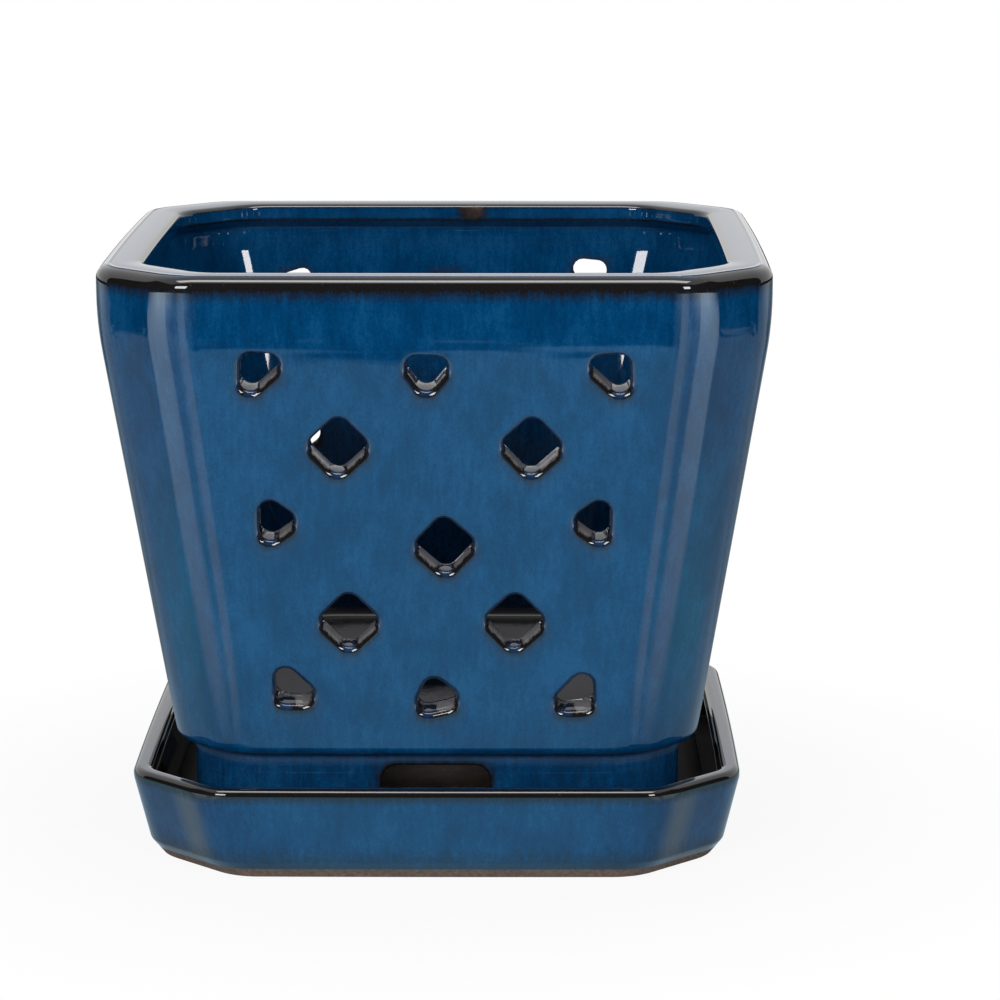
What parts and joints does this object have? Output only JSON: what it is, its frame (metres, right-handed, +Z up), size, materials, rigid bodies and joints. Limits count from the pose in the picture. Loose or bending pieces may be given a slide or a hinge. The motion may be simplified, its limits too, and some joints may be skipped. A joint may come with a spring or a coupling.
{
  "type": "orchid pot with saucer",
  "caption": "Square glazed orchid pot with cut corners, sloping walls pierced by diamond slots, an arched foot and a loose drip saucer.",
  "frame": {"origin": "middle of the saucer's underside, on the surface it stands on", "axes": "+Z up along the pot's axis; the four walls face -Y (front), +X, +Y and -X"},
  "size_m": [0.18, 0.18, 0.1645],
  "materials": {
    "pot_glaze": "glossy streaked blue glaze, brown where it thins at the edges",
    "saucer_glaze": "glossy streaked blue glaze, bare brown clay underneath"
  },
  "bodies": {
    "saucer": {"saucer": "saucer_glaze"},
    "pot": {"pot": "pot_glaze"}
  },
  "joints": [
    {"name": "pot_lift", "type": "slide", "parent": "saucer", "child": "pot", "axis": [0, 0, 1], "range_m": [0, 0.08]}
  ]
}
